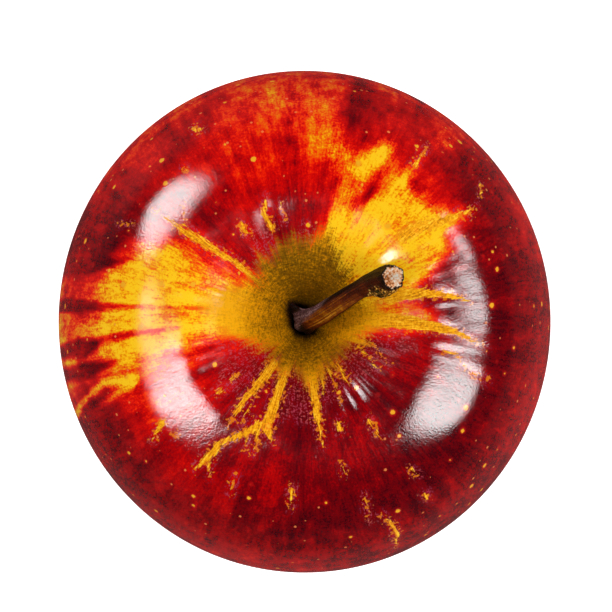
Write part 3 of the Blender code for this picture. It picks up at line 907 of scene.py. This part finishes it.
def make_sepal(material, number):
    """A shrivelled leaf that hangs from the eye's floor and curls outwards, with a rib and rolled edges."""
    random = np.random.RandomState(40 + number)
    mesh, along, turn, inward = closed_tube(f"dry_sepal_{number}", 44, 60, cap=4)
    across, face = np.cos(turn) * (1 - inward), np.sin(turn) * (1 - inward)
    curl = SEPAL_CURL * random.uniform(0.8, 1.1)
    length = SEPAL_LENGTH * random.uniform(0.85, 1.0)
    half = SEPAL_WIDTH / 2 * np.clip(1 - along, 0, 1) ** 0.7 * (1 + 0.5 * along) + 0.15
    half *= 1 + 0.16 * rough(np.stack([np.sign(across), 0 * along, along * 5], 1), 1, number)
    out = length / curl * (1 - np.cos(curl * along))
    down = length / curl * np.sin(curl * along)

    # Crumpled, with edges that lift, and a rib down the middle of one face
    crumple = 0.30 * rough(np.stack([across * 1.4, along * 3.2, 0 * along], 1), 1, number + 10)
    crumple += 0.12 * rough(np.stack([across * 4, along * 7, 0 * along], 1), 1, number + 20)
    rib = 0.16 * bell(across, 0.14) + 0.05 * np.cos(across * 16)
    lift = 0.45 * across**2 * (0.3 + along) + crumple * smooth(along * 4)
    lift += face * (0.20 + rib * (face > 0))

    # Curled outwards, a little twisted, and turned to its place round the eye
    slope = curl * along
    twist = random.uniform(-0.5, 0.5) * along
    sideways = half * across * np.cos(twist)
    lift = lift + half * across * np.sin(twist)
    x = SEPAL_FOOT_RADIUS + out + lift * np.cos(slope)
    z = EYE_FLOOR - SEPAL_THICKNESS / 2 - 0.1 - down + lift * np.sin(slope)
    azimuth = math.radians(LOBE_AZIMUTH) + (number - 1) * math.tau / SEPALS
    cosine, sine = math.cos(azimuth), math.sin(azimuth)
    places = np.stack([x * cosine - sideways * sine, x * sine + sideways * cosine, z], 1)
    place_tube(mesh, places, along, turn, 0.6)
    return finished_piece(mesh.name, mesh, material, [f"sepal_{number}"])


def make_thread(name, stands_for, material, points, widths, seed, sides=16):
    """A dried stamen or style: a tube through points whose widths are given as (share along, radius)."""
    mesh, along, turn, inward = closed_tube(name, sides, 56, cap=4)
    centre, side, across = frames(points, along)
    direction = side * np.cos(turn)[:, None] + across * np.sin(turn)[:, None]
    shares, radii = zip(*widths)
    width = np.interp(along, shares, radii) * np.sqrt(1 - np.clip(inward, 0, 0.999) ** 2)
    places = centre + direction * width[:, None]
    places += direction * (width * 0.28 * rough(places, 3.1, seed))[:, None]
    place_tube(mesh, places, along, turn, 0.5)
    return finished_piece(name, mesh, material, [stands_for])


def make_flower(sepal_material, stamen_material):
    """The sepals round the eye, and the stamens and style that hang from the end of its tube."""
    for number in range(1, SEPALS + 1):
        make_sepal(sepal_material, number)
    root = EYE_FLOOR + TUBE_DEPTH - 0.25
    random = np.random.RandomState(60)
    for number in range(STAMENS):
        azimuth = number * math.tau / STAMENS
        lean = (0.3 if number % 2 else -0.1) + random.uniform(-0.15, 0.15)
        drift = random.uniform(-0.25, 0.25)
        length = STAMEN_LENGTH * random.uniform(0.85, 1.05)
        points = []
        for share in (0, 0.3, 0.6, 0.85, 1):
            far, turn = STAMEN_RING + lean * share**2, azimuth + drift * share**2
            points.append((far * math.cos(turn), far * math.sin(turn), root - length * share))
        widths = [(0, 0.17), (0.6, 0.13), (0.74, 0.12), (0.82, 0.27), (0.93, 0.25), (1, 0.1)]
        stamen = f"stamen_{number + 1:02d}"
        make_thread(f"dry_{stamen}", stamen, stamen_material, points, widths, number)
    points = [(0, 0, root), (0.05, 0.03, root - 1.2), (0.0, 0.1, root - 2.2), (0.1, 0.1, root - STYLE_LENGTH)]
    widths = [(0, 0.5), (0.3, 0.36), (0.7, 0.33), (0.88, 0.45), (1, 0.2)]
    make_thread("dry_style", "style_column", stamen_material, points, widths, 99)


# ---- Stage ----


def seen_or_felt(w, dim, fill, pale):
    """Grey that is pale where the camera sees it, a fill for matt colours, and dim in the gloss."""
    greys = []
    for grey in (dim, fill, pale):
        greys.append(grey if isinstance(grey, bpy.types.NodeSocket) else (grey, grey, grey, 1))
    rays = w.add("ShaderNodeLightPath").outputs
    felt = w.mix(rays["Is Diffuse Ray"], greys[0], greys[1])
    return w.mix(rays["Is Camera Ray"], felt, greys[2])


def make_floor():
    """A white table with a painted shadow under the apple, that shows in the gloss only as a faint glow."""
    bpy.ops.mesh.primitive_plane_add(size=FLOOR_SIZE)
    floor = bpy.context.object
    floor.name = "white_table"
    floor.location.z = -FLOOR_DROP * MM
    material, w, shader, place = new_material("white_table", 0.6)
    w.put(shader.inputs["Base Color"], seen_or_felt(w, 0.004, 0.55, 0.9))
    away = w.add("ShaderNodeVectorMath", {0: place, 1: GLOW_MIDDLE}, operation="DISTANCE").outputs["Value"]
    glow = w.grey(w.step(away, 0.05, 0.10, 0.055, 0.002, rise="LINEAR"))
    # Painted shadow: the camera sees the table darker within about 40 mm of the apple's middle
    inward = w.add("ShaderNodeVectorMath", {0: place}, operation="LENGTH").outputs["Value"]
    pale = w.grey(w.step(inward, 0.012, 0.040, 0.15, 0.92))
    w.put(shader.inputs["Emission Color"], seen_or_felt(w, glow, 0.9, pale))
    shader.inputs["Emission Strength"].default_value = 1
    floor.data.materials.append(material)


def make_lights():
    """Softboxes aimed at the apple, in sizes that keep their angles and radiance."""
    for number, (azimuth, tilt, wide, deep, radiance) in enumerate(SOFTBOXES):
        data = bpy.data.lights.new(f"softbox_{number}", "AREA")
        data.shape = "ELLIPSE"
        data.size = 2 * LIGHT_DISTANCE * math.tan(math.radians(wide / 2))
        data.size_y = 2 * LIGHT_DISTANCE * math.tan(math.radians(deep / 2))
        data.energy = radiance * math.pi**2 / 4 * data.size * data.size_y
        light = bpy.data.objects.new(data.name, data)
        bpy.context.scene.collection.objects.link(light)
        turn, lean = math.radians(azimuth), math.radians(tilt)
        away = Vector((math.sin(lean) * math.cos(turn), math.sin(lean) * math.sin(turn), math.cos(lean)))
        light.location = away * LIGHT_DISTANCE + Vector((0, 0, CREST_HEIGHT * MM))
        light.rotation_euler = away.to_track_quat("Z", "Y").to_euler()
        light.visible_camera = False


def make_world():
    """Brighter round the horizon than overhead, as in a room with pale walls."""
    world = bpy.data.worlds.new("studio")
    world.use_nodes = True
    w = Wiring(world.node_tree)
    up = w.add("ShaderNodeSeparateXYZ", {0: w.add("ShaderNodeTexCoord").outputs["Generated"]}).outputs["Z"]
    wall = w.grey(w.step(up, 0.0, 0.8, 0.95, 0.10, rise="LINEAR"))
    w.put(world.node_tree.nodes["Background"].inputs["Color"], seen_or_felt(w, 0.003, wall, 0.97))
    bpy.context.scene.world = world


def make_camera():
    """Straight above the apple, which sits a little below the middle of the view."""
    data = bpy.data.cameras.new("above")
    data.sensor_width = SENSOR_WIDTH
    data.lens = LENS
    camera = bpy.data.objects.new("above", data)
    bpy.context.scene.collection.objects.link(camera)
    camera.location = [place * MM for place in CAMERA_PLACE]
    bpy.context.scene.camera = camera


def main():
    groups = {
        "streaks": streaks_group(),
        "mottle": mottle_group(),
        "flecks": flecks_group(),
        "edge": edge_group(),
    }
    make_camera()
    make_world()
    make_floor()
    make_lights()
    make_fruit(skin_material(groups))
    make_stalk(bark_material(groups))
    make_flower(
        dried_material(groups, "dried_sepals", SEPAL_DARK, SEPAL_LIGHT, SEPAL_TIP),
        dried_material(groups, "dried_stamens", STAMEN_DARK, STAMEN_LIGHT, STAMEN_TIP),
    )
    bpy.context.scene.view_settings.view_transform = "Standard"


main()
